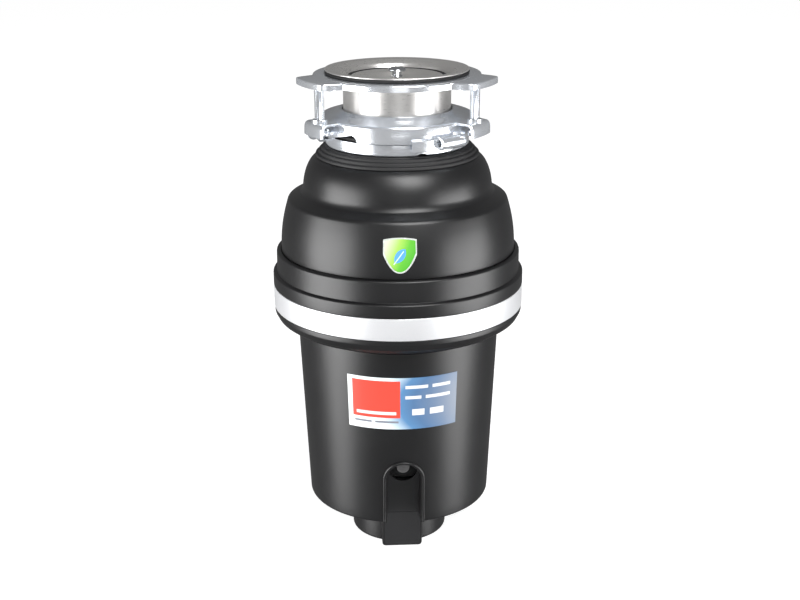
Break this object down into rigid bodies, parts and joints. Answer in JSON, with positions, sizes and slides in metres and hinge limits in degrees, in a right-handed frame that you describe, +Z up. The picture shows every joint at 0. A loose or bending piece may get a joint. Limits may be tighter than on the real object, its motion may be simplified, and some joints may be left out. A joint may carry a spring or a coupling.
{
  "type": "food waste disposer",
  "caption": "Continuous-feed kitchen waste disposer with a clamped sink flange, a quick-lock mount ring, stepped black covers with a silver belt and a reset button in an arch.",
  "frame": {"origin": "centre of the flat bottom of the base collar", "axes": "+Z up along the rotor shaft, -Y towards the front with the reset button, +Y towards the discharge spout"},
  "size_m": [0.2052, 0.2246, 0.3984],
  "materials": {
    "black_plastic": "satin black moulded plastic",
    "grey_plastic": "satin grey moulded plastic",
    "rubber": "matt black rubber",
    "zinc_steel": "bright zinc-plated pressed steel",
    "stainless": "brushed stainless steel",
    "silver_trim": "satin silver paint",
    "steel": "plain machined steel",
    "casting": "cast aluminium",
    "copper": "enamelled copper",
    "brass": "plain brass",
    "ferrite": "dark ferrite or moulded component",
    "label": "printed film",
    "badge": "gloss green film with a silver edge"
  },
  "bodies": {
    "housing": {"vibration_collar": "rubber", "splash_guard": "rubber", "hopper": "grey_plastic", "dishwasher_inlet": "grey_plastic", "grind_ring": "steel", "upper_end_bell": "casting", "discharge_gasket": "rubber", "discharge_spout": "grey_plastic", "shaft_seal": "rubber", "upper_bearing": "steel", "motor_can": "steel", "lower_end_bell": "casting", "lower_bearing": "steel", "magnet_1": "ferrite", "magnet_2": "ferrite", "brush_holder_1": "brass", "brush_holder_2": "brass", "brush_1": "ferrite", "brush_2": "ferrite", "brush_spring_1": "steel", "brush_spring_2": "steel", "upper_cover": "black_plastic", "belt_cover": "black_plastic", "trim_band": "silver_trim", "lower_cover": "black_plastic", "base_collar": "black_plastic", "cover_screw_1": "steel", "cover_screw_2": "steel", "cover_screw_3": "steel", "cover_screw_4": "steel", "overload_switch": "ferrite", "cable_gland": "black_plastic", "terminal_block": "grey_plastic", "rectifier": "ferrite", "rating_label": "label", "shield_badge": "badge"},
    "rotor": {"shaft": "steel", "turntable": "steel", "turntable_nut": "steel", "impeller_rivet_1": "steel", "impeller_rivet_2": "steel", "armature_core": "steel", "windings": "copper", "commutator": "copper", "slinger": "rubber"},
    "impeller_a": {"impeller_1": "steel"},
    "impeller_b": {"impeller_2": "steel"},
    "button": {"reset_button": "grey_plastic"},
    "cam_ring": {"lower_mounting_ring": "zinc_steel"},
    "sink_mount": {"sink_flange": "stainless", "snap_ring": "steel", "mounting_ring": "zinc_steel", "sink_gasket": "rubber"},
    "screw_a": {"mounting_screw_1": "zinc_steel"},
    "screw_b": {"mounting_screw_2": "zinc_steel"},
    "screw_c": {"mounting_screw_3": "zinc_steel"},
    "backing_plate": {"support_flange": "zinc_steel"},
    "stopper": {"stopper_dish": "stainless", "stopper_seal": "rubber", "stopper_knob": "zinc_steel"}
  },
  "joints": [
    {"name": "rotor_spin", "type": "hinge", "parent": "housing", "child": "rotor", "pos_m": [0, 0, 0.246], "axis": [0, 0, 1], "continuous": true},
    {"name": "impeller_1_swivel", "type": "hinge", "parent": "rotor", "child": "impeller_a", "pos_m": [-0.038, 0, 0.25], "axis": [0, 0, 1], "continuous": true},
    {"name": "impeller_2_swivel", "type": "hinge", "parent": "rotor", "child": "impeller_b", "pos_m": [0.038, 0, 0.25], "axis": [0, 0, 1], "continuous": true},
    {"name": "reset_press", "type": "slide", "parent": "housing", "child": "button", "axis": [0, 1, 0], "range_m": [0, 0.002], "stiffness_N_per_m": 600, "springref_m": -0.002},
    {"name": "cam_ring_turn", "type": "hinge", "parent": "housing", "child": "cam_ring", "pos_m": [0, 0, 0.345], "axis": [0, 0, -1], "range_deg": [0, 35]},
    {"name": "mount_release", "type": "slide", "parent": "housing", "child": "sink_mount", "axis": [0, 0, 1], "range_m": [0, 0.0025]},
    {"name": "clamp_screw_1", "type": "slide", "parent": "sink_mount", "child": "screw_a", "axis": [0, 0, 1], "range_m": [-0.01, 0]},
    {"name": "clamp_screw_2", "type": "slide", "parent": "sink_mount", "child": "screw_b", "axis": [0, 0, 1], "range_m": [-0.01, 0]},
    {"name": "clamp_screw_3", "type": "slide", "parent": "sink_mount", "child": "screw_c", "axis": [0, 0, 1], "range_m": [-0.01, 0]},
    {"name": "clamp_travel", "type": "slide", "parent": "sink_mount", "child": "backing_plate", "axis": [0, 0, 1], "range_m": [-0.01, 0]},
    {"name": "stopper_lift", "type": "slide", "parent": "sink_mount", "child": "stopper", "axis": [0, 0, 1], "range_m": [0, 0.08]}
  ],
  "couplings": [
    {"joint": "mount_release", "follows": "cam_ring_turn", "m_per_rad": 0.0040926},
    {"joint": "clamp_screw_2", "follows": "clamp_screw_1", "ratio": 1},
    {"joint": "clamp_screw_3", "follows": "clamp_screw_1", "ratio": 1},
    {"joint": "clamp_travel", "follows": "clamp_screw_1", "ratio": 1}
  ]
}
